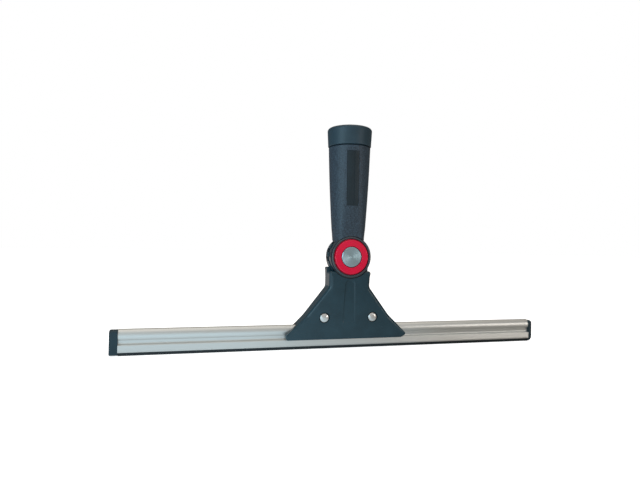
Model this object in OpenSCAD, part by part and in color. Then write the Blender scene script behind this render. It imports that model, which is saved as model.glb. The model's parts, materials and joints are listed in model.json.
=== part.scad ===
// Window cleaning squeegee with a swivel head.
// Millimetres. Origin at the centre of the pole socket's mouth, on top of the handle.
// +Z runs up the handle, +X along the blade, -Y is the side with the release button.
// Each part is drawn about the swivel pin's centre and moved down by handle_len.

/* [Blade] */
// Length of the metal channel and of the rubber blade in it
channel_len = 350; // [250:10:450]
// Height of the metal channel
channel_h = 17; // [16.5:0.1:18]
// How far the rubber blade shows below the channel
rubber_show = 2.8; // [2:0.1:4]
// Thickness of the channel's sheet metal
sheet_t = 0.8; // [0.6:0.1:1]
// How far the left end cap stands out past the channel
cap_left_len = 6; // [3:0.2:8]
// How far the right end cap stands out past the channel
cap_right_len = 3.4; // [3:0.2:8]

/* [Bracket] */
// Height of the swivel pin above the blade's edge
edge_drop = 75.2; // [74:0.2:80]
// Width of the bracket's foot
foot_w = 103.4; // [94:0.2:110]
// Width of the bracket's neck
neck_w = 33.6; // [31.6:0.2:33.6]
// Distance between the two rivets
rivet_span = 40.8; // [36:0.2:44]
// How far the blade lies behind the handle's axis
blade_offset = 5; // [4.5:0.1:5.5]

/* [Swivel] */
// Radius of the round fork cheek at the front
barrel_r = 17; // [16.8:0.1:17.2]
// Radius of the red release ring
button_r = 13.9; // [13.5:0.1:14]
// Radius of the pin's turned head
pin_head_r = 8.15; // [8:0.05:8.2]
// Angle from one index notch to the next
click_angle = 24; // [24, 30, 36]

/* [Handle] */
// Height of the handle's top above the swivel pin
handle_len = 105; // [100:1:130]
// Height of the smooth collar at the top
collar_h = 15.3; // [12:0.1:20]
// Largest radius of the collar
collar_r = 18.3; // [18:0.1:18.9]
// Radius of the pole socket
socket_r = 10.5; // [9.5:0.1:10.6]
// Depth of the pole socket
socket_depth = 57; // [45:1:58]
// Turn of the blank label panel round the handle, from straight ahead
panel_turn = -5; // [-10:1:10]

/* [Hidden] */
$fn = 96;

// Clearances
slip = 0.05;   // running fit of the bush on the pin, and slack between pieces of one body
free_gap = 0.3; // between moving pieces that don't guide each other
past = 1;      // how far a cutter runs past the face it cuts

// Handle outline
grip_top = handle_len - collar_h - 0.4; // underside of the groove below the collar
groove_h = 0.8;
grip_foot = 17.4;        // lowest point of the grip
grip_low = 22;           // where the grip's foot has faired into its taper
grip_foot_r = 13;
grip_low_r = 13.75;
grip_high_r = 17.1;
grip_swell = 0.35;       // how far the taper bows out at mid length
grip_steps = 12;         // straight lengths in the taper's side
sleeve_t = 2;            // thickness of the soft sleeve
neck_r = 12.4;           // core's round neck below the sleeve
collar_low_r = 17.6;
collar_round = 4;        // rounding of the collar's top corner
collar_core_r = 13.4;    // core inside the collar
flat_low = 10.3;         // half depth of the handle just above the pin
flat_high = 14.6;        // half depth where the flats run out
flat_top = 46;

// Label panel
panel_low = 41;
panel_high = 84.5;
panel_w = 11.6;
panel_sink = 0.5;        // how far the panel lies below the grip's surface
panel_t = 0.7;

// Fork and swivel, along Y
gap_half = 3.65;         // half the slot between the cheeks
cheek_front = -8.35;     // front face of the front cheek
cheek_rear = 9.2;        // back face of the rear cheek
rear_cheek_r = 16.6;
rim_notch_w = 3.2;       // pockets in the rear cheek's rim, one index step apart
rim_notch_depth = 2.4;
rim_notch_near = 4.3;
rim_notch_far = 7.1;
cup_r = 15.2;            // pocket for the release ring
cup_floor = -5.4;
bezel_front = -10.3;
bezel_r = 16.3;
bezel_lip = button_r + free_gap;
boss_r = 7.9;            // boss that the pin's head sits on
boss_front = -8.9;
head_front = -11;
ring_front = -10.9;
ring_back = -7.9;
ring_flange_r = 14.8;
ring_flange_t = 0.9;
ring_bore_r = pin_head_r + free_gap;
pin_r = 4;
pin_end = 8.9;
nut_pocket_r = 9.2;
nut_floor = 5.3;
nut_back = 8.6;
nut_across = 13;         // across flats
washer_t = 0.6;
washer_r = 8.2;
spring_washer_t = 0.8;

// Index plate
disc_r = 17.5;
disc_half = 3.3;
tail_half = 2.4;         // half thickness of the plate's tail
stem_w = 20;
tail_w = 53;
notch_out = 4;           // notch width at the rim
notch_in = 2.4;
notch_depth = 1.8;
notch_reach = 105;       // how far round the notches go, each way from the top
tail_h = 12;             // height of the tail's wide part
tail_lift = 1.8;         // how far the tail ends above the channel
hub_r = 6;
crotch_r = disc_r + 0.4; // round cut that the plate turns in, under the neck

// Return spring under the ring
wire_r = 0.3;
coil_r = 11.2;
coil_turns = 3;
coil_steps = 20;         // straight lengths in one turn
wire_sides = 6;
coil_y0 = ring_back + wire_r;
coil_y1 = cup_floor - wire_r;

// Detent leaf, in the neck above the plate
leaf_t = 0.6;
leaf_half = 9.3;
leaf_w = 4.6;
leaf_top = 21.1;
leaf_tip = disc_r - notch_depth + 0.1;
ear_w = 3.8;             // ear that the ring's finger lifts
ear_back = -5.8;
ear_front = -6.4;
ear_low = 14.3;
finger_low = 11.5;
finger_high = 15.6;
finger_end = -6.6;

// Heights of the channel, from the pin
edge_z = -edge_drop;
channel_low = edge_z + rubber_show;
channel_top = channel_low + channel_h;
waist_z = channel_low + 6.7;   // groove between the channel's bulge and its lips
bulge_r = 3.7;
waist_r = 2.2;
lip_r = 4.2;
bulge_low = waist_z + 3.3;
cap_top = channel_top - 0.6;

// Bracket, from the pin
neck_top_front = -11.7;
neck_top_rear = -9;
neck_low = -24.5;
bend_z = -16.3;          // where the faces start to splay
face_front = -8.8;
face_rear = 6.7;
foot_z = waist_z - 1;     // underside of the bracket
foot_front = -4.2;
foot_rear = 12.6;
cradle_r = barrel_r + 0.4;
pocket_slack = 0.1;
rivet_z = edge_z + 26.3;
rivet_r = 2.5;
rivet_head_r = 3.9;
rivet_seat = -4.2;
rivet_dome = -6.5;
rivet_back_seat = 8.6;
rivet_washer_t = 0.78;
shoulder_r = 2;          // rounding of the shoulders beside the barrel
jaw_half = 4.8;          // half the slot that takes the channel and its pad
pad_len = 84;
pad_low = waist_z + 0.3;
jaw_top = channel_top + 0.7;
arch_depth = 0.7;        // shallow arched recess down the middle of the front half
arch_top = -18.8;
arch_top_half = 4.1;
arch_low_half = 5.9;
arch_low = -54;

// Moves a part from the pin's frame to the socket mouth's
module from_pin() {
    translate([0, 0, -handle_len])
        children();
}

// A cylinder along Y from y0 to y1
module y_rod(r, y0, y1) {
    translate([0, y0, 0])
        rotate([-90, 0, 0])
            cylinder(r = r, h = y1 - y0);
}

// A ring or turned piece about Y: the outline's x is the radius, its y is the position along Y
module y_turn(outline) {
    rotate([-90, 0, 0])
        rotate_extrude()
            polygon(outline);
}

// Extrudes an outline drawn in X and Z from y0 to y1
module y_slab(y0, y1) {
    translate([0, y1, 0])
        rotate([90, 0, 0])
            linear_extrude(y1 - y0)
                children();
}

// Extrudes an outline drawn in Y and Z over a length centred on X = 0
module x_slab(length) {
    translate([-length / 2, 0, 0])
        rotate([90, 0, 90])
            linear_extrude(length)
                children();
}

// Points of an arc about a centre, from angle a0 to a1
function arc(centre, r, a0, a1, steps) =
    [for (i = [0:steps]) let (a = a0 + (a1 - a0) * i / steps)
        [centre[0] + r * cos(a), centre[1] + r * sin(a)]];

function mirrored(points) = [for (p = points) [-p[0], p[1]]];
function turned_back(points) = [for (i = [len(points) - 1:-1:0]) points[i]];
function both_sides(half) = concat(half, turned_back(mirrored(half)));

// Radius of the grip at a height above the pin
function grip_r(z) = let (t = (z - grip_low) / (grip_top - grip_low))
    grip_low_r + (grip_high_r - grip_low_r) * t + grip_swell * sin(180 * t);

function grip_side(inset) = [for (i = [0:grip_steps])
    let (z = grip_low + (grip_top - grip_low) * i / grip_steps) [grip_r(z) - inset, z]];

// The flats at the front and back of the handle's lower end, moved in by inset
module handle_depth(inset) {
    x_slab(4 * barrel_r)
        polygon(both_sides([
            [0, 0],
            [flat_low - inset, 0],
            [flat_low - inset, grip_foot],
            [flat_high - inset, flat_top],
            [flat_high + 4, handle_len + past],
            [0, handle_len + past]]));
}

module socket_bore() {
    translate([0, 0, handle_len - socket_depth])
        cylinder(r = socket_r, h = socket_depth + past);
}

// Side of the core from the neck's shoulder to the collar
function core_side(slack) = concat(
    [[neck_r + slack, grip_foot - 0.1], [grip_foot_r - sleeve_t + slack, grip_foot - 0.1]],
    grip_side(sleeve_t - slack));

// Core: neck and tube in one moulding with the fork
module core_outside() {
    intersection() {
        rotate_extrude()
            polygon(concat(
                [[0, 6], [neck_r - 0.2, 6]],
                core_side(0),
                [[collar_core_r, grip_top + groove_h], [collar_core_r, handle_len], [0, handle_len]]));
        handle_depth(sleeve_t - 0.3);
    }
}

// Round cheeks of the fork; the rear one has three pockets in its rim at each side
module fork_cheeks() {
    y_rod(barrel_r, cheek_front, -gap_half);
    difference() {
        y_turn([
            [0, gap_half],
            [rear_cheek_r, gap_half],
            [rear_cheek_r, cheek_rear - 2],
            [rear_cheek_r - 1, cheek_rear],
            [0, cheek_rear]]);
        for (side = [-90, 90])
            for (k = [-1:1])
                rotate([0, side + k * click_angle, 0])
                    y_slab(rim_notch_near, rim_notch_far)
                        translate([-rim_notch_w / 2, rear_cheek_r - rim_notch_depth])
                            square([rim_notch_w, 2 * rim_notch_depth]);
    }
}

// Room for the detent leaf and for the ear that releases it
module leaf_room() {
    translate([-leaf_half - slip, -leaf_w / 2 - free_gap, 0])
        cube([2 * (leaf_half + slip), leaf_w + 2 * free_gap, leaf_top]);
    translate([-ear_w / 2 - free_gap, ring_back - free_gap, finger_low])
        cube([ear_w + 2 * free_gap, -ring_back, leaf_top - finger_low - 1]);
}

module handle_core() {
    color("#2b3338")
        from_pin()
            difference() {
                union() {
                    difference() {
                        core_outside();
                        y_rod(bezel_r + 0.2, -barrel_r, cheek_front);
                    }
                    fork_cheeks();
                }
                socket_bore();
                y_rod(crotch_r, -gap_half, gap_half);
                translate([-barrel_r - past, -gap_half, -barrel_r - past])
                    cube([2 * (barrel_r + past), 2 * gap_half, barrel_r + past]);
                difference() {
                    y_rod(cup_r, cheek_front - past, cup_floor);
                    y_rod(boss_r, cheek_front - 2 * past, cup_floor + past);
                }
                y_rod(pin_r + 0.02, -barrel_r, barrel_r);
                y_rod(nut_pocket_r, nut_floor, barrel_r);
                leaf_room();
            }
}

// Soft sleeve with a saddle at its foot that follows the fork
module grip_sleeve() {
    color("#33414a")
        from_pin()
            difference() {
                intersection() {
                    rotate_extrude()
                        polygon(concat(
                            [[0, grip_foot], [grip_foot_r, grip_foot]],
                            grip_side(0),
                            [[0, grip_top]]));
                    handle_depth(0);
                }
                intersection() {
                    rotate_extrude()
                        polygon(concat(
                            [[0, 0]],
                            core_side(0),
                            [[grip_high_r - sleeve_t, handle_len], [0, handle_len]]));
                    handle_depth(sleeve_t - 0.3);
                }
                y_rod(barrel_r + 1.2, -2 * barrel_r, 2 * barrel_r);
                label_band(0);
            }
}

// The band outside the recess floor, as wide and high as the panel less trim all round
module label_band(trim) {
    rotate([0, 0, panel_turn])
        intersection() {
            rotate_extrude()
                polygon([
                    [grip_r(panel_low) - panel_sink - panel_t, panel_low],
                    [barrel_r + 4, panel_low],
                    [barrel_r + 4, panel_high],
                    [grip_r(panel_high) - panel_sink - panel_t, panel_high]]);
            translate([-panel_w / 2 + trim, -2 * barrel_r, panel_low + trim])
                cube([panel_w - 2 * trim, 2 * barrel_r, panel_high - panel_low - 2 * trim]);
        }
}

module label_panel() {
    color("#222d34")
        from_pin()
            intersection() {
                label_band(slip);
                rotate_extrude()
                    polygon([
                        [0, panel_low],
                        [grip_r(panel_low) - panel_sink, panel_low],
                        [grip_r(panel_high) - panel_sink, panel_high],
                        [0, panel_high]]);
            }
}

module end_collar() {
    low = grip_top + groove_h;
    color("#323f48")
        from_pin()
            rotate_extrude()
                polygon(concat(
                    [[collar_core_r + slip, low], [collar_low_r - 0.4, low], [collar_low_r, low + 0.5]],
                    arc([collar_r - collar_round, handle_len - collar_round], collar_round, 0, 90, 8),
                    [[collar_core_r + slip, handle_len]]));
}

// Snap-in rim that keeps the release ring in its cup
module bezel_ring() {
    color("#27323a")
        from_pin()
            y_turn([
                [bezel_lip, bezel_front],
                [bezel_r - 0.8, bezel_front],
                [bezel_r, bezel_front + 0.8],
                [bezel_r, cheek_front - slip],
                [ring_flange_r + free_gap, cheek_front - slip],
                [ring_flange_r + free_gap, ring_back - ring_flange_t - 0.1],
                [bezel_lip, ring_back - ring_flange_t - 0.1]]);
}

// Push ring: pressing it slides its finger under the leaf's ear
module release_ring() {
    edge = 0.5;
    color("#c41a3a")
        from_pin() {
            y_turn([
                [ring_bore_r, ring_front + edge / 2],
                [ring_bore_r + edge / 2, ring_front],
                [button_r - edge, ring_front],
                [button_r, ring_front + edge],
                [button_r, ring_back - ring_flange_t],
                [ring_flange_r, ring_back - ring_flange_t],
                [ring_flange_r, ring_back],
                [ring_bore_r, ring_back]]);
            x_slab(ear_w)
                polygon([
                    [ring_back - 0.4, finger_low + 0.5],
                    [ring_back - 0.4, finger_low + 2.5],
                    [ring_back, finger_high - 1],
                    [ring_back, finger_high],
                    [finger_end, ear_low - 0.2],
                    [finger_end, finger_low + 0.5]]);
        }
}

// Short coil of round wire about Y
module release_spring() {
    rings = coil_turns * coil_steps;
    rise = (coil_y1 - coil_y0) / rings;
    points = [for (i = [0:rings]) let (a = 360 * i / coil_steps)
        for (k = [0:wire_sides - 1]) let (b = 360 * k / wire_sides, r = coil_r + wire_r * cos(b))
            [r * cos(a), coil_y0 + rise * i + wire_r * sin(b), r * sin(a)]];
    sides = [for (i = [0:rings - 1]) for (k = [0:wire_sides - 1])
        let (n = (k + 1) % wire_sides)
            [i * wire_sides + k, (i + 1) * wire_sides + k, (i + 1) * wire_sides + n, i * wire_sides + n]];
    start = [for (k = [0:wire_sides - 1]) k];
    end = [for (k = [wire_sides - 1:-1:0]) rings * wire_sides + k];
    color("silver")
        from_pin()
            polyhedron(points, concat(sides, [start], [end]));
}

module pivot_pin() {
    color("#9fb3b8")
        from_pin()
            y_turn([
                [0, head_front],
                [pin_head_r - 0.35, head_front],
                [pin_head_r, head_front + 0.35],
                [pin_head_r, boss_front],
                [pin_r, boss_front],
                [pin_r, pin_end - 0.5],
                [pin_r - 0.5, pin_end],
                [0, pin_end]]);
}

// Two plain washers that the index plate turns between
module thrust_washers() {
    color("ivory")
        from_pin()
            for (y0 = [-gap_half, gap_half - washer_t])
                y_turn([
                    [pin_r + slip, y0],
                    [washer_r, y0],
                    [washer_r, y0 + washer_t],
                    [pin_r + slip, y0 + washer_t]]);
}

// Dished washer that keeps the swivel tight
module spring_washer() {
    dish = 0.35;
    color("silver")
        from_pin()
            y_turn([
                [pin_r + slip, nut_floor + dish],
                [washer_r - 1, nut_floor],
                [washer_r - 1, nut_floor + spring_washer_t - dish],
                [pin_r + slip, nut_floor + spring_washer_t]]);
}

module lock_nut() {
    seat = nut_floor + spring_washer_t;
    color("silver")
        from_pin()
            difference() {
                translate([0, seat, 0])
                    rotate([-90, 0, 0])
                        cylinder(d = nut_across / cos(30), h = nut_back - seat, $fn = 6);
                y_rod(pin_r + slip, 0, barrel_r);
            }
}

module rear_cap() {
    skirt = 1;
    color("#2b3338")
        from_pin()
            y_turn([
                [0, cheek_rear],
                [nut_pocket_r - slip - skirt, cheek_rear],
                [nut_pocket_r - slip - skirt, cheek_rear - 1.4],
                [nut_pocket_r - slip, cheek_rear - 1.4],
                [nut_pocket_r - slip, cheek_rear],
                [nut_pocket_r + 1.6, cheek_rear],
                [nut_pocket_r + 1.2, cheek_rear + 0.7],
                [nut_pocket_r - 0.4, cheek_rear + 1],
                [0, cheek_rear + 1]]);
}

// Leaf with a bent tip that drops into the notches, and an ear at its front
module detent_spring() {
    under = [[leaf_half, leaf_top - leaf_t], [2, leaf_tip + 2.4], [1, leaf_tip]];
    over = [[leaf_half, leaf_top], [1.6, leaf_tip + 2.4 + leaf_t], [0.6, leaf_tip + leaf_t]];
    color("silver")
        from_pin() {
            y_slab(-leaf_w / 2, leaf_w / 2)
                polygon(concat(under, turned_back(mirrored(under)), mirrored(over), turned_back(over)));
            x_slab(ear_w / 2)
                polygon([
                    [-leaf_w / 2 + 0.5, leaf_tip + 3.2],
                    [ear_front, leaf_tip + 3.2],
                    [ear_front, ear_low],
                    [ear_back, ear_low],
                    [ear_back, leaf_tip + 2.6],
                    [-leaf_w / 2 + 0.1, leaf_tip + 2.6],
                    [-leaf_w / 2 + 0.1, leaf_tip + 0.2],
                    [-leaf_w / 2 + 0.5, leaf_tip + 0.2]]);
        }
}

// Notched disc with a tail that both halves of the bracket hold
module tail_outline(slack) {
    tail_low = channel_top + tail_lift;
    translate([-stem_w / 2 - slack, tail_low - slack])
        square([stem_w + 2 * slack, -tail_low - disc_r / 2]);
    translate([-tail_w / 2 - slack, tail_low - slack])
        square([tail_w + 2 * slack, tail_h + 2 * slack]);
}

module index_plate() {
    color("#303a40")
        from_pin()
            difference() {
                union() {
                    y_rod(disc_r, -disc_half, disc_half);
                    y_slab(-tail_half, tail_half)
                        tail_outline(0);
                }
                for (k = [-floor(notch_reach / click_angle):floor(notch_reach / click_angle)])
                    rotate([0, k * click_angle, 0])
                        y_slab(-disc_half - past, disc_half + past)
                            polygon([
                                [-notch_in / 2, disc_r - notch_depth],
                                [notch_in / 2, disc_r - notch_depth],
                                [notch_out / 2, disc_r + 0.2],
                                [-notch_out / 2, disc_r + 0.2]]);
                y_rod(hub_r, -barrel_r, barrel_r);
                y_rod(washer_r + free_gap, -barrel_r, -gap_half + washer_t + 0.02);
                y_rod(washer_r + free_gap, gap_half - washer_t - 0.02, barrel_r);
                for (side = [-1, 1])
                    translate([side * rivet_span / 2, 0, rivet_z])
                        y_rod(rivet_r + slip, -barrel_r, barrel_r);
            }
}

module hub_bushing() {
    half = gap_half - washer_t - 0.02;
    color("#b08d57")
        from_pin()
            y_turn([
                [pin_r + slip, -half],
                [hub_r, -half],
                [hub_r, half],
                [pin_r + slip, half]]);
}

// Outline of a half of the bracket seen from the front, up to the given height
module bracket_outline(top) {
    foot = foot_w / 2;
    neck = neck_w / 2;
    polygon(both_sides(concat(
        [[0, foot_z],
            [foot - 2.6, foot_z],
            [foot, foot_z + 2.4],
            [foot - 0.4, foot_z + 3.7],
            [foot - 3.2, foot_z + 6.9],
            [foot - 7.2, foot_z + 10.3],
            [foot - 16.2, foot_z + 19.1],
            [neck, neck_low]],
        arc([neck - shoulder_r, top - shoulder_r], shoulder_r, 0, 90, 4),
        [[0, top]])));
}

// Cuts that both halves share: the cradle for the barrel, the plate's pocket and the rivet holes
module bracket_cuts() {
    y_rod(cradle_r, -barrel_r, -gap_half + 0.1);
    y_rod(cradle_r, gap_half - 0.1, barrel_r);
    y_rod(disc_r + pocket_slack, -gap_half, gap_half);
    y_slab(-tail_half - pocket_slack, tail_half + pocket_slack)
        tail_outline(pocket_slack);
    for (side = [-1, 1])
        translate([side * rivet_span / 2, 0, rivet_z]) {
            y_rod(rivet_r + slip, -barrel_r, barrel_r);
            y_rod(rivet_head_r + 0.4, -barrel_r, rivet_seat);
            y_rod(rivet_head_r + 0.6, rivet_back_seat, barrel_r);
        }
}

module bracket_front() {
    slot = blade_offset - jaw_half;
    color("#2c3f48")
        from_pin()
            difference() {
                intersection() {
                    y_slab(-barrel_r, barrel_r)
                        bracket_outline(neck_top_front);
                    x_slab(foot_w + 2 * past)
                        polygon([
                            [0, neck_top_front],
                            [face_front, neck_top_front],
                            [face_front, bend_z],
                            [foot_front, foot_z],
                            [slot, foot_z],
                            [slot, jaw_top],
                            [0, jaw_top]]);
                }
                front_recess();
                bracket_cuts();
            }
}

// Shallow recess down the middle of the front half, rounded at its top, that runs out at its foot
module front_recess() {
    intersection() {
        y_slab(-barrel_r, barrel_r)
            polygon(concat(
                arc([0, arch_top - arch_top_half], arch_top_half, 0, 180, 16),
                [[-arch_low_half, arch_low], [arch_low_half, arch_low]]));
        x_slab(foot_w)
            polygon([
                [face_front - past, bend_z],
                [face_front + arch_depth, bend_z],
                [foot_front, foot_z],
                [face_front - past, foot_z]]);
    }
}

module bracket_rear() {
    slot_front = blade_offset - jaw_half;
    slot_rear = blade_offset + jaw_half;
    color("#2c3f48")
        from_pin()
            difference() {
                intersection() {
                    y_slab(-barrel_r, barrel_r)
                        bracket_outline(neck_top_rear);
                    x_slab(foot_w + 2 * past)
                        polygon([
                            [0, neck_top_rear],
                            [face_rear, neck_top_rear],
                            [face_rear, bend_z],
                            [foot_rear, foot_z],
                            [slot_rear, foot_z],
                            [slot_rear, jaw_top],
                            [0, jaw_top]]);
                }
                bracket_cuts();
                rear_pockets();
            }
}

// Two shallow pockets in the back, either side of the middle
module rear_pockets() {
    depth = 1.6;
    for (side = [-1, 1])
        intersection() {
            x_slab(foot_w)
                polygon([
                    [face_rear - depth, bend_z - 6],
                    [barrel_r, bend_z - 6],
                    [barrel_r, foot_z],
                    [foot_rear - depth, foot_z]]);
            y_slab(0, barrel_r)
                polygon([
                    [side * 4, neck_low],
                    [side * 12.5, neck_low - 2],
                    [side * 24.5, neck_low - 16],
                    [side * 4, neck_low - 16]]);
        }
}

module bracket_rivets() {
    color("#b9bfc2")
        from_pin()
            for (side = [-1, 1])
                translate([side * rivet_span / 2, 0, rivet_z])
                    y_turn([
                        [0, rivet_dome],
                        [rivet_head_r - 1.9, rivet_dome + 0.15],
                        [rivet_head_r - 0.7, rivet_dome + 0.6],
                        [rivet_head_r, rivet_dome + 1.3],
                        [rivet_head_r, rivet_seat],
                        [rivet_r, rivet_seat],
                        [rivet_r, rivet_back_seat + rivet_washer_t + 0.02],
                        [rivet_r + 0.7, rivet_back_seat + rivet_washer_t + 0.12],
                        [rivet_r + 0.5, rivet_back_seat + rivet_washer_t + 0.8],
                        [0, rivet_back_seat + rivet_washer_t + 1.1]]);
}

module rivet_washers() {
    color("silver")
        from_pin()
            for (side = [-1, 1])
                translate([side * rivet_span / 2, 0, rivet_z])
                    y_turn([
                        [rivet_r + slip, rivet_back_seat],
                        [rivet_head_r, rivet_back_seat],
                        [rivet_head_r, rivet_back_seat + rivet_washer_t],
                        [rivet_r + slip, rivet_back_seat + rivet_washer_t]]);
}

// One side of the channel's sheet, from the middle of its top to the lip's edge; inset 0 is the outside
function sheet_side(inset) = concat(
    arc([0, channel_top - bulge_r], bulge_r - inset, 90, 0, 8),
    arc([0, bulge_low], bulge_r - inset, 0, -45, 5),
    [[waist_r - inset * 0.9, waist_z + 0.3], [waist_r - inset * 0.9, waist_z - 0.4],
        [lip_r - 0.5 - inset, waist_z - 1.5], [lip_r - inset, channel_low + 0.6],
        [lip_r - inset, channel_low]]);

function sheet_outline(inset) =
    concat(turned_back(mirrored(sheet_side(inset))), sheet_side(inset));

// Folded liner between the jaws and the channel
module channel_pad() {
    grip = jaw_half - slip;
    color("#20282c")
        from_pin()
            translate([0, blade_offset, 0])
                x_slab(pad_len)
                    difference() {
                        translate([-grip, pad_low])
                            square([2 * grip, jaw_top - slip - pad_low]);
                        polygon(sheet_outline(0));
                        translate([-waist_r, pad_low - past])
                            square([2 * waist_r, 4 * past]);
                    }
}

module channel() {
    color("#9fb0b2")
        from_pin()
            translate([0, blade_offset, 0])
                x_slab(channel_len)
                    polygon(concat(sheet_outline(0), turned_back(sheet_outline(sheet_t))));
}

// Rubber: a bead in the bulge, a web through the waist and a blade between the lips
module blade_rubber() {
    bead_r = bulge_r - sheet_t - 0.4;
    web = 0.9;
    full = lip_r - sheet_t - 0.6;
    edge = 1.5;
    color("#1a2226")
        from_pin()
            translate([0, blade_offset, 0])
                x_slab(channel_len)
                    polygon(both_sides(concat(
                        [[edge, edge_z], [full, channel_low], [full - 0.4, waist_z - 2.6],
                            [web, waist_z - 1.6]],
                        arc([0, bulge_low + 0.6], bead_r, -acos(web / bead_r), 84, 12))));
}

// Cap over the channel's end, with a plug that fills the top of the bulge
module end_cap(side, length) {
    cap_half = lip_r + 0.1;
    plug_r = 1.3;
    plug_len = 14;
    from_pin()
        translate([side * (channel_len + length) / 2, blade_offset, 0]) {
            intersection() {
                x_slab(length)
                    polygon(both_sides(concat(
                        [[0, edge_z], [cap_half - 2.2, edge_z], [cap_half, edge_z + 0.9]],
                        arc([cap_half - 3, cap_top - 3], 3, 0, 90, 8),
                        [[0, cap_top]])));
                y_slab(-2 * cap_half, 2 * cap_half)
                    polygon([
                        [-side * length / 2, edge_z],
                        [side * (length / 2 - 0.8), edge_z],
                        [side * length / 2, edge_z + 0.8],
                        [side * length / 2, cap_top - 1],
                        [side * (length / 2 - 1), cap_top],
                        [-side * length / 2, cap_top]]);
            }
            translate([-side * (length / 2 + plug_len / 2 - past), 0, channel_top - sheet_t - plug_r - 0.2])
                rotate([0, 90, 0])
                    cylinder(r = plug_r, h = plug_len + 2 * past, center = true);
        }
}

module end_cap_left() {
    color("#1d2427")
        end_cap(-1, cap_left_len);
}

module end_cap_right() {
    color("#1d2427")
        end_cap(1, cap_right_len);
}

handle_core();
grip_sleeve();
label_panel();
end_collar();
bezel_ring();
release_ring();
release_spring();
pivot_pin();
thrust_washers();
spring_washer();
lock_nut();
rear_cap();
detent_spring();
index_plate();
hub_bushing();
bracket_front();
bracket_rear();
bracket_rivets();
rivet_washers();
channel_pad();
channel();
blade_rubber();
end_cap_left();
end_cap_right();
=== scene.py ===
"""Looks of the swivel-head window squeegee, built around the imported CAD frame.

Lengths in the shape code are millimetres from the swivel pin's centre; at() turns them into the
row frame, which is in metres from the pole socket's mouth.
"""
import json
import math

import bmesh
import bpy
from mathutils import Matrix, Vector


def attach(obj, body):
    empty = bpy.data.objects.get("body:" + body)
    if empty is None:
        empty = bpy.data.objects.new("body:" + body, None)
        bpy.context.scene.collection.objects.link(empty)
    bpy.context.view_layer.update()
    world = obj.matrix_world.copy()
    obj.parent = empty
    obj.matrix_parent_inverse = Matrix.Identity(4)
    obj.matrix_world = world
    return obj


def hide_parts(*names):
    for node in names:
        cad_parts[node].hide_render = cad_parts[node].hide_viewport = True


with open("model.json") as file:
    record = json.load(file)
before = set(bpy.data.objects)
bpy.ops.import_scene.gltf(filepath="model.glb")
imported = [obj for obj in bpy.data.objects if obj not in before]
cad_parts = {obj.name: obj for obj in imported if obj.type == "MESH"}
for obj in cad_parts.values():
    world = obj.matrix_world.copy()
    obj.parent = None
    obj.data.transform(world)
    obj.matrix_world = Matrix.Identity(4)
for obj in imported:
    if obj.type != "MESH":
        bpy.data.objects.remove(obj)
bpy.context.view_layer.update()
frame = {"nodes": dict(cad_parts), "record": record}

HANDLE_LEN = 105.0
BLADE_Y = 5.0
EDGE_Z = -75.2
CHANNEL_LOW = EDGE_Z + 2.8
CHANNEL_TOP = CHANNEL_LOW + 17.0
WAIST_Z = CHANNEL_LOW + 6.7
CHANNEL_HALF = 175.0


def at(x, y, z):
    """A point given in mm from the pin, in the row frame."""
    return Vector((x, y, z - HANDLE_LEN)) / 1000


# ---------------------------------------------------------------- materials

def new_material(name, color, roughness, metallic=0.0, specular=0.5):
    material = bpy.data.materials.new(name)
    material.use_nodes = True
    shader = material.node_tree.nodes["Principled BSDF"]
    shader.inputs["Base Color"].default_value = (*color, 1)
    shader.inputs["Roughness"].default_value = roughness
    shader.inputs["Metallic"].default_value = metallic
    shader.inputs["Specular IOR Level"].default_value = specular
    return material


def coordinates(material, scale=(1, 1, 1)):
    """Object coordinates, stretched by scale."""
    nodes, links = material.node_tree.nodes, material.node_tree.links
    source = nodes.new("ShaderNodeTexCoord")
    mapping = nodes.new("ShaderNodeMapping")
    mapping.inputs["Scale"].default_value = scale
    links.new(source.outputs["Object"], mapping.inputs["Vector"])
    return mapping.outputs["Vector"]


def noise(material, vector, scale, detail=2.0):
    node = material.node_tree.nodes.new("ShaderNodeTexNoise")
    node.inputs["Scale"].default_value = scale
    node.inputs["Detail"].default_value = detail
    material.node_tree.links.new(vector, node.inputs["Vector"])
    return node.outputs["Fac"]


def remap(material, value, low, high, start=0.3, end=0.7):
    """Stretches a 0..1 value so that start becomes low and end becomes high."""
    node = material.node_tree.nodes.new("ShaderNodeMapRange")
    node.inputs["From Min"].default_value = start
    node.inputs["From Max"].default_value = end
    node.inputs["To Min"].default_value = low
    node.inputs["To Max"].default_value = high
    material.node_tree.links.new(value, node.inputs["Value"])
    return node.outputs["Result"]


def two_colors(material, value, low, high, start=0.3, end=0.7):
    """Feeds the base colour a blend of two colours."""
    ramp = material.node_tree.nodes.new("ShaderNodeValToRGB")
    ramp.color_ramp.elements[0].position = start
    ramp.color_ramp.elements[1].position = end
    ramp.color_ramp.elements[0].color = (*low, 1)
    ramp.color_ramp.elements[1].color = (*high, 1)
    material.node_tree.links.new(value, ramp.inputs["Fac"])
    shader = material.node_tree.nodes["Principled BSDF"]
    material.node_tree.links.new(ramp.outputs["Color"], shader.inputs["Base Color"])


def roughness_from(material, value):
    shader = material.node_tree.nodes["Principled BSDF"]
    material.node_tree.links.new(value, shader.inputs["Roughness"])


def bump(material, height, distance_mm, strength=1.0):
    node = material.node_tree.nodes.new("ShaderNodeBump")
    node.inputs["Distance"].default_value = distance_mm / 1000
    node.inputs["Strength"].default_value = strength
    material.node_tree.links.new(height, node.inputs["Height"])
    shader = material.node_tree.nodes["Principled BSDF"]
    material.node_tree.links.new(node.outputs["Normal"], shader.inputs["Normal"])


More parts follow.
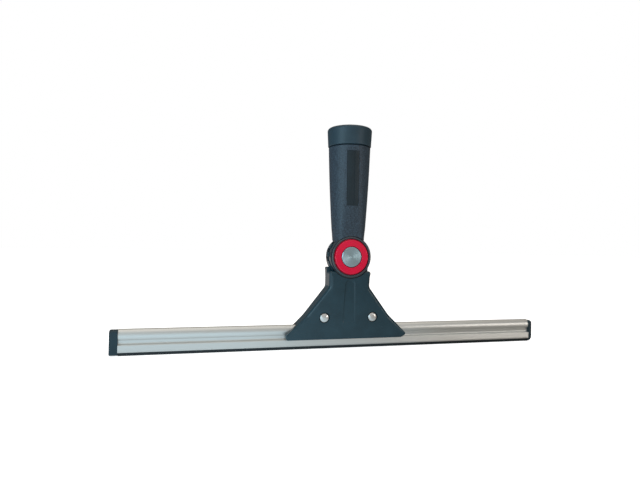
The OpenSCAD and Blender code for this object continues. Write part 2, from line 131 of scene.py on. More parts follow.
def plastic(name, low, high, roughness, grain_mm=0.35, depth_mm=0.01, specular=0.4):
    """Moulded plastic: a faint mottle and a fine spark-eroded grain."""
    material = new_material(name, high, roughness, specular=specular)
    vector = coordinates(material)
    mottle = noise(material, vector, 90, 3)
    grain = noise(material, vector, 1000 / grain_mm, 2)
    two_colors(material, mottle, low, high)
    roughness_from(material, remap(material, grain, roughness - 0.05, roughness + 0.07))
    bump(material, grain, depth_mm)
    return material


def grained_rubber():
    """Soft grip: pebbled grain about a millimetre across."""
    material = new_material("grip_rubber", (0.03, 0.05, 0.065), 0.5, specular=0.5)
    vector = coordinates(material)
    pebbles = noise(material, vector, 1150, 3)
    two_colors(material, pebbles, (0.008, 0.018, 0.030), (0.038, 0.066, 0.094), 0.36, 0.66)
    roughness_from(material, remap(material, pebbles, 0.44, 0.62))
    bump(material, pebbles, 0.10, 0.8)
    return material


def drawn_steel():
    """Rolled strip in one metal tone with fine lines along X; the bends and lights do the shading."""
    material = new_material("channel_steel", (0.62, 0.64, 0.63), 0.42, metallic=1.0)
    lines = noise(material, coordinates(material, (0.6, 900, 900)), 6, 3)
    roughness_from(material, remap(material, lines, 0.36, 0.48))
    bump(material, lines, 0.004, 0.6)
    return material


def turned_steel():
    """Turned face: fine rings about the pin, which draw the light out into streaks."""
    material = new_material("turned_steel", (0.38, 0.52, 0.58), 0.32, metallic=1.0)
    nodes, links = material.node_tree.nodes, material.node_tree.links
    nodes["Principled BSDF"].inputs["Anisotropic"].default_value = 0.7
    nodes["Principled BSDF"].inputs["Anisotropic Rotation"].default_value = 0.25
    around = nodes.new("ShaderNodeTangent")
    around.direction_type = "RADIAL"
    around.axis = "Y"
    links.new(around.outputs["Tangent"], nodes["Principled BSDF"].inputs["Tangent"])
    place = nodes.new("ShaderNodeTexCoord")
    mapping = nodes.new("ShaderNodeMapping")
    mapping.inputs["Location"].default_value = (0, 0, HANDLE_LEN / 1000)
    links.new(place.outputs["Object"], mapping.inputs["Vector"])
    split = nodes.new("ShaderNodeSeparateXYZ")
    links.new(mapping.outputs["Vector"], split.inputs["Vector"])
    flat = nodes.new("ShaderNodeCombineXYZ")
    links.new(split.outputs["X"], flat.inputs["X"])
    links.new(split.outputs["Z"], flat.inputs["Y"])
    radius = nodes.new("ShaderNodeVectorMath")
    radius.operation = "LENGTH"
    links.new(flat.outputs["Vector"], radius.inputs[0])
    rings = nodes.new("ShaderNodeTexNoise")
    rings.noise_dimensions = "1D"
    rings.inputs["Scale"].default_value = 9000
    rings.inputs["Detail"].default_value = 2
    links.new(radius.outputs["Value"], rings.inputs["W"])
    bump(material, rings.outputs["Fac"], 0.02, 0.5)
    return material


def plain_metal(name, color, roughness):
    material = new_material(name, color, roughness, metallic=1.0)
    grain = noise(material, coordinates(material), 600, 2)
    roughness_from(material, remap(material, grain, roughness - 0.05, roughness + 0.08))
    return material


MATERIALS = {
    "core_plastic": plastic(
        "core_plastic", (0.012, 0.022, 0.032), (0.018, 0.032, 0.044), 0.18, specular=1.0),
    "grip_rubber": grained_rubber(),
    "panel_plastic": plastic("panel_plastic", (0.004, 0.014, 0.020), (0.007, 0.019, 0.027), 0.45, 0.5),
    "collar_plastic": plastic("collar_plastic", (0.016, 0.040, 0.056), (0.022, 0.050, 0.070), 0.46),
    "red_plastic": plastic("red_plastic", (0.70, 0.002, 0.038), (0.75, 0.003, 0.044), 0.16, 0.6, 0.003, 0.4),
    "turned_steel": turned_steel(),
    "spring_steel": plain_metal("spring_steel", (0.50, 0.51, 0.53), 0.30),
    "plated_steel": plain_metal("plated_steel", (0.72, 0.73, 0.72), 0.22),
    "acetal": plastic("acetal", (0.74, 0.73, 0.68), (0.80, 0.79, 0.74), 0.40),
    "bush_brass": plain_metal("bush_brass", (0.60, 0.42, 0.16), 0.30),
    "bracket_plastic": plastic("bracket_plastic", (0.011, 0.036, 0.050), (0.015, 0.046, 0.064), 0.21),
    "channel_steel": drawn_steel(),
    "blade_rubber": plastic("blade_rubber", (0.004, 0.011, 0.015), (0.006, 0.015, 0.020), 0.38, 0.8),
    "cap_plastic": plastic("cap_plastic", (0.004, 0.022, 0.034), (0.006, 0.028, 0.042), 0.42),
}


# ------------------------------------------------------------- mesh tools

def fillet(points, steps=5):
    """A closed outline with rounded corners; each point is (a, b) or (a, b, radius)."""
    rounded = []
    for i, point in enumerate(points):
        here = Vector(point[:2])
        if len(point) < 3 or point[2] <= 0:
            rounded.append(tuple(here))
            continue
        before = Vector(points[i - 1][:2]) - here
        after = Vector(points[(i + 1) % len(points)][:2]) - here
        half = before.angle(after) / 2
        cut = min(point[2] / math.tan(half), 0.49 * before.length, 0.49 * after.length)
        radius = cut * math.tan(half)
        before.normalize()
        after.normalize()
        centre = here + (before + after).normalized() * radius / math.sin(half)
        first = here + before * cut - centre
        last = here + after * cut - centre
        start = math.atan2(first.y, first.x)
        sweep = (math.atan2(last.y, last.x) - start + math.pi) % (2 * math.pi) - math.pi
        for k in range(steps + 1):
            turn = start + sweep * k / steps
            rounded.append((centre.x + radius * math.cos(turn), centre.y + radius * math.sin(turn)))
    return rounded


def mirrored(half):
    """Both sides of an outline drawn from the bottom centre to the top centre."""
    return half + [(-p[0], *p[1:]) for p in reversed(half)]


def turned(profile, axis="Y", centre=(0, 0, 0), steps=144):
    """Vertices and faces of a closed (radius, height) profile turned about Y or Z."""
    vertices, rings = [], []
    for radius, height in profile:
        count = 1 if radius < 1e-6 else steps
        rings.append([len(vertices) + k for k in range(count)])
        for k in range(count):
            turn = 2 * math.pi * k / steps
            a, b = radius * math.cos(turn), radius * math.sin(turn)
            spot = (a, height, b) if axis == "Y" else (a, b, height)
            vertices.append(tuple(s + c for s, c in zip(spot, centre)))
    faces = []
    for i, ring in enumerate(rings):
        other = rings[(i + 1) % len(rings)]
        if len(ring) == 1 and len(other) == 1:
            continue
        for k in range(steps):
            n = (k + 1) % steps
            loop = [ring[k % len(ring)], ring[n % len(ring)], other[n % len(other)], other[k % len(other)]]
            faces.append(tuple(dict.fromkeys(loop)))
    return vertices, faces


def along_x(outline, x0, x1, soften=0.15):
    """A (y, z) outline run from x0 to x1, with its end edges softened."""
    middle = (sum(p[0] for p in outline) / len(outline), sum(p[1] for p in outline) / len(outline))
    tall = max(p[1] for p in outline) - min(p[1] for p in outline)
    vertices, faces = [], []
    stations = [(x0, 1), (x0 + soften, 0), (x1 - soften, 0), (x1, 1)]
    for x, pulled in stations:
        shrink = 1 - pulled * soften / tall
        for y, z in outline:
            vertices.append((x, middle[0] + (y - middle[0]) * shrink, middle[1] + (z - middle[1]) * shrink))
    n = len(outline)
    for s in range(len(stations) - 1):
        for k in range(n):
            faces.append((s * n + k, s * n + (k + 1) % n, (s + 1) * n + (k + 1) % n, (s + 1) * n + k))
    faces.append(tuple(range(n)))
    faces.append(tuple(range(len(vertices) - n, len(vertices))))
    return vertices, faces


def inset(outline, distances):
    """The closed (x, z) outline moved inwards, each vertex by its own distance."""
    area = sum(outline[i - 1][0] * p[1] - p[0] * outline[i - 1][1] for i, p in enumerate(outline))
    side = 1 if area > 0 else -1
    moved = []
    for i, point in enumerate(outline):
        here = Vector(point)
        a = (here - Vector(outline[i - 1])).normalized()
        b = (Vector(outline[(i + 1) % len(outline)]) - here).normalized()
        normal = Vector((-(a.y + b.y), a.x + b.x)) * side
        normal.normalize()
        reach = distances[i] / max(0.4, normal.dot(Vector((-a.y, a.x)) * side))
        moved.append(tuple(here + normal * reach))
    return moved


def padded_slab(outline, face_y, back_y, radius, bend=None, steps=5):
    """A slab whose outer face follows face_y(z); its edges are rounded, by one radius or radius(z)."""
    vertices, faces = [], []
    n = len(outline)
    inwards = 1 if back_y > face_y(outline[0][1]) else -1
    radii = [radius(z) if callable(radius) else radius for x, z in outline]
    for k in range(steps + 1):
        t = math.pi / 2 * k / steps
        ring = inset(outline, [r * (1 - math.sin(t)) for r in radii])
        for (x, z), (_, start_z), r in zip(ring, outline, radii):
            z = bend if bend is not None and abs(start_z - bend) < 0.001 else z
            vertices.append((x, face_y(z) + inwards * r * (1 - math.cos(t)), z))
    vertices += [(x, back_y, z) for x, z in outline]
    for s in range(steps + 1):
        for k in range(n):
            faces.append((s * n + k, s * n + (k + 1) % n, (s + 1) * n + (k + 1) % n, (s + 1) * n + k))
    faces.append(tuple(range(len(vertices) - n, len(vertices))))
    if bend is None:
        faces.append(tuple(range(n)))
    else:
        faces.append(tuple(k for k in range(n) if vertices[k][2] > bend - 0.001))
        faces.append(tuple(k for k in range(n) if vertices[k][2] < bend + 0.001))
    return vertices, faces


def mesh_object(name, *shapes):
    """An object from one or more closed shapes, with its faces turned outwards."""
    mesh = bpy.data.meshes.new(name)
    build = bmesh.new()
    for vertices, faces in shapes:
        made = [build.verts.new(at(*v)) for v in vertices]
        for face in faces:
            build.faces.new([made[k] for k in face])
    bmesh.ops.recalc_face_normals(build, faces=build.faces)
    build.to_mesh(mesh)
    build.free()
    piece = bpy.data.objects.new(name, mesh)
    bpy.context.scene.collection.objects.link(piece)
    return piece


def combine(piece, tools, operation):
    """Applies a boolean with each tool to piece, and removes the tools."""
    for tool in tools:
        step = piece.modifiers.new("combine", "BOOLEAN")
        step.object = tool
        step.operation = operation
        step.solver = "EXACT"
    settle(piece)
    for tool in tools:
        bpy.data.objects.remove(tool)


def settle(piece):
    """Makes the modifiers' result the piece's own mesh."""
    graph = bpy.context.evaluated_depsgraph_get()
    mesh = bpy.data.meshes.new_from_object(piece.evaluated_get(graph))
    piece.modifiers.clear()
    piece.data = mesh


def finish_piece(piece, slot_name, body, nodes, edge_mm=0.0, sharp=32):
    """Material, softened edges, smooth faces and the body it rides on."""
    piece.data.materials.clear()
    piece.data.materials.append(MATERIALS[slot_name])
    if edge_mm:
        edge = piece.modifiers.new("edge", "BEVEL")
        edge.width = edge_mm / 1000
        edge.segments = 2
        edge.limit_method = "ANGLE"
        edge.angle_limit = math.radians(sharp)
        settle(piece)
    piece.data.polygons.foreach_set("use_smooth", [True] * len(piece.data.polygons))
    piece.data.set_sharp_from_angle(angle=math.radians(sharp))
    level = piece.modifiers.new("level", "WEIGHTED_NORMAL")
    level.keep_sharp = True
    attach(piece, body)
    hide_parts(*nodes)
    return piece


# ---------------------------------------------------------------- handle

GRIP_TOP = 89.3
COLLAR_LOW = GRIP_TOP + 0.5


def grip_radius(z):
    """Radius of the grip's round part at a height above the pin."""
    if z < 22:
        return 12.9 + 0.85 * max(0, (z - 10) / 12) ** 2
    t = (z - 22) / (GRIP_TOP - 22)
    return 13.75 + 3.35 * t + 0.35 * math.sin(math.pi * t)


def grip_depth(z):
    """Half depth of the flats at the handle's front and back."""
    if z < 17.4:
        return 10.3
    t = (z - 17.4) / (46 - 17.4)
    return 10.3 + 4.3 * t if z < 46 else 14.6 + 0.085 * (z - 46)


def grip_point(turn, z, lower=0.0):
    """Point on the grip: round, blended into the flats, lowered into the surface."""
    round_r = grip_radius(z)
    flat_r = grip_depth(z) / max(0.05, abs(math.sin(turn)))
    blend_mm = 0.7
    radius = -blend_mm * math.log(math.exp(-round_r / blend_mm) + math.exp(-flat_r / blend_mm))
    radius -= lower
    return radius * math.cos(turn), radius * math.sin(turn)


def grip_foot(turn):
    """Height at which the grip ends above the barrel, clear of what turns behind the front cheek."""
    x, y = grip_point(turn, 14)
    behind_cheek = min(1, max(0, (y + 4.1) / 0.35))
    reach = 16.75 + (18.3 - 16.75) * behind_cheek
    return math.sqrt(reach ** 2 - x ** 2)


def make_grip():
    columns, rows, wall = 240, 110, 1.8
    vertices, faces = [], []
    for lower in (0.0, wall):
        for i in range(rows + 1):
            for j in range(columns):
                turn = 2 * math.pi * j / columns
                foot = grip_foot(turn)
                z = foot + (GRIP_TOP - foot) * i / rows
                ease = 0.5 * max(0, 1 - (GRIP_TOP - z) / 0.6) ** 2 if lower == 0 else 0
                vertices.append((*grip_point(turn, z, lower + ease), z))
    layer = (rows + 1) * columns
    for i in range(rows):
        for j in range(columns):
            n = (j + 1) % columns
            a, b = i * columns, (i + 1) * columns
            faces.append((a + j, a + n, b + n, b + j))
            faces.append((layer + a + j, layer + b + j, layer + b + n, layer + a + n))
    top = rows * columns
    for j in range(columns):
        n = (j + 1) % columns
        faces.append((j, layer + j, layer + n, n))
        faces.append((top + j, top + n, layer + top + n, layer + top + j))
    return mesh_object("grip", (vertices, faces))


PANEL_LOW, PANEL_HIGH = 41.0, 84.5
PANEL_WIDE = 10.35
PANEL_STEP = 6.45
PANEL_START = math.radians(-90 - 23.8)


def panel_block(left, right, low, high, lower, upper, rows=24, columns=12):
    """A block that follows the grip's surface; left and right are measured round it from one edge."""
    vertices, faces = [], []
    for drop in (lower, upper):
        for i in range(rows + 1):
            z = low + (high - low) * i / rows
            for j in range(columns + 1):
                side = left + (right - left) * j / columns
                turn = PANEL_START + side / grip_radius(z)
                vertices.append((*grip_point(turn, z, drop), z))
    wide = columns + 1
    layer = (rows + 1) * wide
    for i in range(rows):
        for j in range(columns):
            a = i * wide + j
            faces.append((a, a + 1, a + wide + 1, a + wide))
            faces.append((layer + a, layer + a + wide, layer + a + wide + 1, layer + a + 1))
    for i in range(rows):
        for j in (0, columns):
            a = i * wide + j
            faces.append((a, a + wide, layer + a + wide, layer + a))
    for j in range(columns):
        for i in (0, rows):
            a = i * wide + j
            faces.append((a, a + 1, layer + a + 1, layer + a))
    return vertices, faces


grip = make_grip()
recess = mesh_object("recess", panel_block(
    0, PANEL_WIDE, PANEL_LOW, PANEL_HIGH, 1.25, -2.0))
combine(grip, [recess], "DIFFERENCE")
finish_piece(grip, "grip_rubber", "handle", ["grip_sleeve"])

panel = mesh_object("label_inlay", panel_block(
    0.04, PANEL_WIDE - 0.04, PANEL_LOW + 0.04, PANEL_HIGH - 0.04, 1.2, 0.5))
ledge = mesh_object("ledge", panel_block(
    PANEL_STEP, PANEL_WIDE - 0.04, PANEL_LOW + 0.04, PANEL_HIGH - 0.04, 1.1, 0.25))
combine(panel, [ledge], "UNION")
finish_piece(panel, "panel_plastic", "handle", ["label_panel"], 0.1)

collar_profile = fillet([
    (13.45, COLLAR_LOW), (17.3, COLLAR_LOW, 0.2), (17.6, COLLAR_LOW + 0.4, 0.3),
    (18.42, HANDLE_LEN, 4.4), (13.45, HANDLE_LEN, 0.3)], 8)
collar = mesh_object("collar", turned(collar_profile, "Z"))
finish_piece(collar, "collar_plastic", "handle", ["end_collar"])


# ---------------------------------------------------------- swivel, ring

bezel = mesh_object("bezel", turned(fillet([
    (14.4, -9.5, 0.15), (15.0, -10.3, 0.4), (16.3, -10.3, 1.25), (16.3, -8.42, 0.3),
    (15.15, -8.42), (15.15, -8.9), (14.4, -8.9)], 6)))
finish_piece(bezel, "core_plastic", "handle", ["bezel_ring"])

ring_profile = fillet([
    (8.5, -10.7, 0.3), (8.75, -10.9, 0.2), (13.85, -10.9, 0.85),
    (13.85, -8.8), (14.7, -8.8, 0.1), (14.7, -7.95, 0.1), (8.5, -7.95, 0.1)], 6)
finger_outline = fillet([
    (-8.3, 12.1, 0.1), (-6.7, 12.1, 0.2), (-6.7, 14.0, 0.2),
    (-7.95, 15.5, 0.1), (-8.3, 14.4, 0.1)], 3)
finger = along_x(finger_outline, -1.85, 1.85)
release = mesh_object("release_button_ring", turned(ring_profile), finger)
finish_piece(release, "red_plastic", "release_button", ["release_ring"])

pin = mesh_object("pin_turned", turned(fillet([
    (0, -10.98), (7.7, -10.98, 0.3), (8.12, -10.6, 0.3), (8.12, -8.92), (4.0, -8.92),
    (4.0, 8.4, 0.2), (3.5, 8.9, 0.2), (0, 8.9)], 4)))
finish_piece(pin, "turned_steel", "handle", ["pivot_pin"])


# ---------------------------------------------------------------- bracket

FOOT_Z = WAIST_Z - 1.0
FOOT = 51.7
NECK = 17.1
NECK_LOW = -24.5
BEND = -16.3


def bracket_side(top, low_in, low_r, tip_r, shoulder_r=2.2, slim=0.0):
    """One side of the bracket's outline, from the foot's bottom corner to the shoulder."""
    return [
        (FOOT - low_in, FOOT_Z, low_r), (FOOT, FOOT_Z + 3.0, tip_r),
        (FOOT - 4.4 - slim, FOOT_Z + 7.2, 2.4), (FOOT - 16.7 - slim / 3, FOOT_Z + 19.1, 14.0),
        (NECK, NECK_LOW, 5.0), (NECK + 0.2, BEND), (NECK + 0.55, top, shoulder_r)]


def bracket_outline(right, left):
    """Bracket half seen from the front."""
    return fillet(right + [(-p[0], *p[1:]) for p in reversed(left)], 6)


def front_face(z):
    return -8.8 if z > BEND else -8.8 + 4.6 * (BEND - z) / (BEND - FOOT_Z)


def front_edge(z):
    """Rounding of the front's edges: tight at the foot and the shoulder, soft along the neck."""
    up = min(1, max(0, (z - FOOT_Z - 2) / 14))
    near_shoulder = min(1, max(0, (z - BEND) / 1.6))
    return 1.1 + 2.1 * up - 1.4 * near_shoulder


def arch_floor(z):
    """Floor of the arched recess, which runs out towards the foot."""
    return front_face(z) + 0.75 * min(1, (z - FOOT_Z) / (BEND - FOOT_Z))


def rear_face(z):
    return 6.7 if z > BEND else 6.7 + 5.9 * (BEND - z) / (BEND - FOOT_Z)


RIVET_X = 20.4
RIVET_Z = -48.9
OUTER_CUT_R = 17.4      # round cut in a half of the bracket, at its outer side
INNER_CUT_R = 17.62     # and at its inner side, clear of the index plate


def disc_tool(radius, y0, y1, centre=(0, 0, 0)):
    profile = [(0, y0), (radius, y0), (radius, y1), (0, y1)]
    return mesh_object("tool", turned(profile, centre=centre, steps=180))


def block_tool(x0, x1, y0, y1, z0, z1):
    corners = [(x, y, z) for x in (x0, x1) for y in (y0, y1) for z in (z0, z1)]
    sides = [(0, 1, 3, 2), (4, 6, 7, 5), (0, 4, 5, 1), (2, 3, 7, 6), (0, 2, 6, 4), (1, 5, 7, 3)]
    return mesh_object("tool", (corners, sides))


def make_front():
    outline = bracket_outline(
        bracket_side(-11.4, 5.0, 1.4, 1.6, 3.0),
        bracket_side(-11.4, 1.4, 1.6, 2.0, 3.0))
    piece = mesh_object("bracket_front_shell", padded_slab(outline, front_face, 0.0, front_edge, BEND, 10))
    arch = fillet([(6.1, -54, 2.4), (4.3, -17.9, 4.1), (-4.3, -17.9, 4.1), (-6.1, -54, 2.4)], 10)
    tools = [mesh_object("tool", padded_slab(arch, arch_floor, -20, 1.5, steps=12))]
    tools += [disc_tool(OUTER_CUT_R, -20, -3.6), disc_tool(INNER_CUT_R, -3.7, 1.0)]
    tools += [disc_tool(4.3, -20, -4.2, (side * RIVET_X, 0, RIVET_Z)) for side in (-1, 1)]
    tools.append(block_tool(-10.1, 10.1, -2.5, 1.0, -45, -10))
    combine(piece, tools, "DIFFERENCE")
    return piece


def make_rear():
    half = bracket_side(-8.4, 1.4, 1.6, 2.0, 1.0, 1.5)
    outline = bracket_outline(half, half)
    piece = mesh_object("bracket_rear_shell", padded_slab(outline, rear_face, 0.0, 0.9, BEND))
    tools = [disc_tool(OUTER_CUT_R, 3.6, 20), disc_tool(INNER_CUT_R, -1.0, 3.7)]
    tools += [disc_tool(4.5, 8.6, 30, (side * RIVET_X, 0, RIVET_Z)) for side in (-1, 1)]
    tools.append(block_tool(-80, 80, 0.2, 9.8, -80, CHANNEL_TOP + 0.7))
    tools.append(block_tool(-10.1, 10.1, -1.0, 2.5, -45, -10))
    for side in (-1, 1):
        pocket = fillet([
            (side * 4, -26, 0.8), (side * 13, -28, 1.5),
            (side * 22, -38.5, 1.5), (side * 4, -38.5, 0.8)], 4)
        tools.append(mesh_object("tool", padded_slab(pocket, lambda z: rear_face(z) - 1.6, 30, 0.5)))
    combine(piece, tools, "DIFFERENCE")
    return piece


finish_piece(make_front(), "bracket_plastic", "head", ["bracket_front"], 0.18, 35)
finish_piece(make_rear(), "bracket_plastic", "head", ["bracket_rear"], 0.18, 35)

rivet_profile = fillet([
    (0, -6.5), (1.9, -6.38, 1.2), (3.2, -5.95, 0.8), (3.88, -5.2, 0.5), (3.88, -4.22, 0.1),
    (2.48, -4.22), (2.48, 9.42), (3.2, 9.55, 0.3), (2.9, 10.2, 0.4), (0, 10.5)], 4)
rivets = mesh_object("rivets_pair", *[
    turned(rivet_profile, centre=(side * RIVET_X, 0, RIVET_Z), steps=64) for side in (-1, 1)])
finish_piece(rivets, "plated_steel", "head", ["bracket_rivets"])


# ---------------------------------------------------------------- blade

def sheet_side(thickness):
    """Half of the rolled channel from its top to the lip's edge, drawn thickness inside the outer face."""
    tall, deep = 4.75, 3.7
    centre = CHANNEL_TOP - tall
    points = []
    for k in range(27):
        turn = math.radians(90 - 138 * k / 26)
        points.append(((deep - thickness) * math.cos(turn), centre + (tall - thickness) * math.sin(turn)))
    points.append((2.25 - thickness * 0.8, WAIST_Z + 0.2, 0.5))
    points.append((2.3 - thickness * 0.8, WAIST_Z - 0.35, 0.5))
    points.append((4.0 - thickness, WAIST_Z - 1.35 - thickness * 0.3, 0.5))
    points.append((4.15 - thickness, CHANNEL_LOW + 0.9, 2.0))
    points.append((3.95 - thickness, CHANNEL_LOW, 0.05))
    return points


def channel_outline():
    outside, inside = sheet_side(0), sheet_side(0.8)
    seam = outside + list(reversed(inside))[:-1]
    other = [(-p[0], *p[1:]) for p in reversed(seam)]
    outline = seam + [inside[0]] + other[:-1]
    return [(BLADE_Y + p[0], p[1]) for p in fillet(outline, 4)]


channel = mesh_object("channel_strip", along_x(channel_outline(), -CHANNEL_HALF, CHANNEL_HALF))
finish_piece(channel, "channel_steel", "head", ["channel"], sharp=50)

rubber_half = [
    (0, EDGE_Z), (1.5, EDGE_Z, 0.08), (2.75, CHANNEL_LOW, 0.6),
    (2.45, WAIST_Z - 2.6, 0.4), (0.9, WAIST_Z - 1.6, 0.3)]
for k in range(13):
    turn = math.radians(-68 + 158 * k / 12)
    rubber_half.append((2.5 * math.cos(turn), WAIST_Z + 3.9 + 2.5 * math.sin(turn)))
rubber_outline = [(BLADE_Y + p[0], p[1]) for p in fillet(mirrored(rubber_half[:-1])[1:], 4)]
rubber = mesh_object("rubber_strip", along_x(rubber_outline, -CHANNEL_HALF, CHANNEL_HALF))
finish_piece(rubber, "blade_rubber", "head", ["blade_rubber"])


CAP_TOP = CHANNEL_TOP - 0.6


def cap_piece(name, side, stations):
    """End cap lofted outwards; a station is (distance out, rise of bottom, drop of top, narrowing)."""
    half = [(0, EDGE_Z), (1.6, EDGE_Z, 0.5), (4.2, EDGE_Z + 1.1, 0.6), (4.2, CAP_TOP, 2.4), (0, CAP_TOP)]
    outline = fillet(half + [(-p[0], *p[1:]) for p in reversed(half[1:-1])], 6)
    vertices, faces = [], []
    for out, rise, drop, narrow in stations:
        low, high = EDGE_Z + rise, CAP_TOP - drop
        for y, z in outline:
            share = (z - EDGE_Z) / (CAP_TOP - EDGE_Z)
            height = low + (high - low) * share
            vertices.append((side * (CHANNEL_HALF + out), BLADE_Y + y * (1 - narrow), height))
    n = len(outline)
    for s in range(len(stations) - 1):
        for k in range(n):
            faces.append((s * n + k, s * n + (k + 1) % n, (s + 1) * n + (k + 1) % n, (s + 1) * n + k))
    faces.append(tuple(range(n)))
    faces.append(tuple(range(len(vertices) - n, len(vertices))))
    plug_r, plug_z = 1.3, CHANNEL_TOP - 2.3
    turns = [math.pi * k / 12 for k in range(24)]
    circle = [(BLADE_Y + plug_r * math.cos(turn), plug_z + plug_r * math.sin(turn)) for turn in turns]
    plug = along_x(circle, *sorted((side * (CHANNEL_HALF + 1), side * (CHANNEL_HALF - 14))))
    return mesh_object(name, (vertices, faces), plug)


left_cap = cap_piece("left_end_cap", -1, [
    (0, 0.55, 0.2, 0.04), (0.2, 0.35, 0, 0), (5.7, 0.35, 0, 0),
    (5.92, 0.43, 0.08, 0.02), (6, 0.6, 0.25, 0.06)])
finish_piece(left_cap, "cap_plastic", "head", ["end_cap_left"])
right_cap = cap_piece("right_end_cap", 1, [
    (0, 0.2, 0.2, 0.04), (0.2, 0, 0, 0), (1.2, 0.3, 0, 0), (2.0, 1.0, 0.2, 0.02), (2.8, 2.2, 0.5, 0.06),
    (3.25, 3.6, 0.9, 0.12), (3.4, 4.8, 1.4, 0.2)])
finish_piece(right_cap, "cap_plastic", "head", ["end_cap_right"])


# ------------------------------------------------------------- CAD nodes

EDGE_WIDTH = {
    "handle_core": 0.3, "index_plate": 0.2,
}


def dress(node, slot_name):
    """Gives a carried-over CAD node its material, softened edges and smooth round faces."""
    piece = frame["nodes"][node]
    piece.data.materials.clear()
    piece.data.materials.append(MATERIALS[slot_name])
    weld = piece.modifiers.new("weld", "WELD")
    weld.merge_threshold = 0.000002
    if node in EDGE_WIDTH:
        flat = piece.modifiers.new("flat", "DECIMATE")
        flat.decimate_type = "DISSOLVE"
        flat.angle_limit = math.radians(0.4)
        edge = piece.modifiers.new("edge", "BEVEL")
        edge.width = EDGE_WIDTH[node] / 1000
        edge.segments = 3
        edge.limit_method = "ANGLE"
        edge.angle_limit = math.radians(28)
        edge.harden_normals = True
    return piece


for row in frame["record"]["subparts"]:
    dress(row["node"], row["material_slot"])


# ------------------------------------------------------------ stage, light

def sheet_of(name, corners, material):
    mesh = bpy.data.meshes.new(name)
    mesh.from_pydata(corners, [], [tuple(range(len(corners)))])
    piece = bpy.data.objects.new(name, mesh)
    bpy.context.scene.collection.objects.link(piece)
    mesh.materials.append(material)
    return piece


def softbox(name, place, aim, width, height, power, color):
    light = bpy.data.lights.new(name, "AREA")
    light.shape = "RECTANGLE"
    light.size = width
    light.size_y = height
    light.energy = power
    light.color = color
    holder = bpy.data.objects.new(name, light)
    bpy.context.scene.collection.objects.link(holder)
    holder.location = place
    holder.rotation_euler = (Vector(aim) - Vector(place)).to_track_quat("-Z", "Y").to_euler()
    return holder


def mix_colors(tree, factor, low, high):
    """Mixes two colours, each a socket or an (r, g, b) tuple."""
    node = tree.nodes.new("ShaderNodeMix")
    node.data_type = "RGBA"
    tree.links.new(factor, node.inputs[0])
    for slot, color in ((6, low), (7, high)):
        if isinstance(color, tuple):
            node.inputs[slot].default_value = (*color, 1)
        else:
            tree.links.new(color, node.inputs[slot])
    return node.outputs[2]


def light_table(material):
    """Floor paper that glows as a light table: white to the camera; the object sees a dim glow, bluer at the
    left, warmer behind and weakest at the right, over paper colour darkened as painted shade, darkest at the
    right.
    """
    nodes, links = material.node_tree.nodes, material.node_tree.links
    shader = nodes["Principled BSDF"]
    place = nodes.new("ShaderNodeTexCoord")
    split = nodes.new("ShaderNodeSeparateXYZ")
    links.new(place.outputs["Object"], split.inputs["Vector"])
    side = remap(material, split.outputs["X"], 0, 1, -0.08, 0.10)
    behind = remap(material, split.outputs["Y"], 0, 1, -0.03, 0.03)
    path = nodes.new("ShaderNodeLightPath")
    dim_glow = ((0.62, 0.80, 0.90), (0.32, 0.28, 0.26), (0.15, 0.13, 0.11), (0.80, 0.80, 0.80))
    # painted shade: for the object the paper colour is dark, darker still at the right, while the camera
    # sees it white
    painted_shade_paper = ((0.35, 0.36, 0.37), (0.35, 0.36, 0.37), (0.25, 0.25, 0.25), (0.93, 0.93, 0.93))
    for socket, (left, rear, right, seen) in (("Emission Color", dim_glow), ("Base Color", painted_shade_paper)):
        along = mix_colors(material.node_tree, behind, left, rear)
        across = mix_colors(material.node_tree, side, along, right)
        by_ray = mix_colors(material.node_tree, path.outputs["Is Camera Ray"], across, seen)
        links.new(by_ray, shader.inputs[socket])
    shader.inputs["Emission Strength"].default_value = 1


floor_z = (EDGE_Z - HANDLE_LEN) / 1000
paper = new_material("floor_paper", (0.93, 0.93, 0.93), 0.9, specular=0.1)
light_table(paper)
sheet_of("floor", [(-6, -6, floor_z), (6, -6, floor_z), (6, 6, floor_z), (-6, 6, floor_z)], paper)


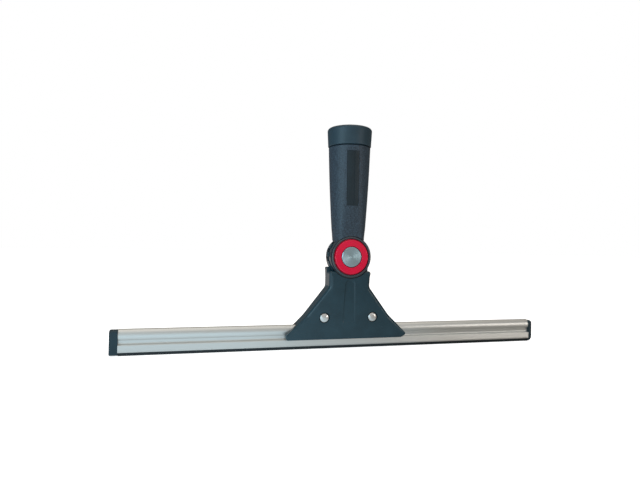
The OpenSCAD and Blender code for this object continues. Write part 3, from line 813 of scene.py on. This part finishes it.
def studio():
    """White backdrop for the camera; for the object a dim brownish room, beige above and bright in front."""
    world = bpy.data.worlds.new("studio")
    bpy.context.scene.world = world
    world.use_nodes = True
    nodes, links = world.node_tree.nodes, world.node_tree.links
    place = nodes.new("ShaderNodeTexCoord")
    split = nodes.new("ShaderNodeSeparateXYZ")
    links.new(place.outputs["Generated"], split.inputs["Vector"])
    room = nodes.new("ShaderNodeValToRGB")
    stops = [
        (0.0, (0.17, 0.17, 0.17)), (0.55, (0.15, 0.15, 0.145)),
        (0.85, (0.62, 0.55, 0.48)), (1.0, (0.70, 0.64, 0.58))]
    while len(room.color_ramp.elements) < len(stops):
        room.color_ramp.elements.new(0.5)
    for element, (position, color) in zip(room.color_ramp.elements, stops):
        element.position = position
        element.color = (*color, 1)
    links.new(split.outputs["Z"], room.inputs["Fac"])
    front = nodes.new("ShaderNodeMapRange")
    front.inputs["From Min"].default_value = -0.35
    front.inputs["From Max"].default_value = -0.85
    links.new(split.outputs["Y"], front.inputs["Value"])
    path = nodes.new("ShaderNodeLightPath")
    lit = mix_colors(world.node_tree, front.outputs["Result"], room.outputs["Color"], (0.56, 0.54, 0.52))
    seen = mix_colors(world.node_tree, path.outputs["Is Camera Ray"], lit, (1, 1, 1))
    links.new(seen, nodes["Background"].inputs["Color"])


studio()
softbox("key_left", (-0.76, -0.47, 0.10), (0, 0, -0.09), 0.4, 0.6, 3.1, (0.57, 0.85, 1.0))
softbox("fill_right", (0.75, -0.85, -0.05), (0.1, 0, -0.12), 0.25, 0.4, 1.45, (1.0, 0.91, 0.83))
softbox("top", (0.0, -0.3, 1.1), (0, 0, -0.1), 1.6, 1.6, 4, (1.0, 0.97, 0.93))


# ---------------------------------------------------------------- camera

def add_camera():
    """Camera fitted to the object's proportions: 27 mm lens, turned right and slightly up."""
    place = (-0.12231, -0.37612, -0.09741)
    yaw, pitch, roll = (math.radians(a) for a in (14.6779, 0.8392, 0.9947))
    forward = Vector((math.sin(yaw) * math.cos(pitch), math.cos(yaw) * math.cos(pitch), math.sin(pitch)))
    level_right = Vector((math.cos(yaw), -math.sin(yaw), 0))
    level_up = level_right.cross(forward)
    right = math.cos(roll) * level_right + math.sin(roll) * level_up
    up = -math.sin(roll) * level_right + math.cos(roll) * level_up
    lens = bpy.data.cameras.new("camera")
    lens.lens = 27.0
    lens.sensor_width = 36.0
    lens.clip_start = 0.01
    camera = bpy.data.objects.new("camera", lens)
    bpy.context.scene.collection.objects.link(camera)
    camera.matrix_world = Matrix((
        (right.x, up.x, -forward.x, place[0]),
        (right.y, up.y, -forward.y, place[1]),
        (right.z, up.z, -forward.z, place[2]),
        (0, 0, 0, 1)))
    bpy.context.scene.camera = camera


add_camera()
bpy.context.scene.view_settings.view_transform = "Standard"
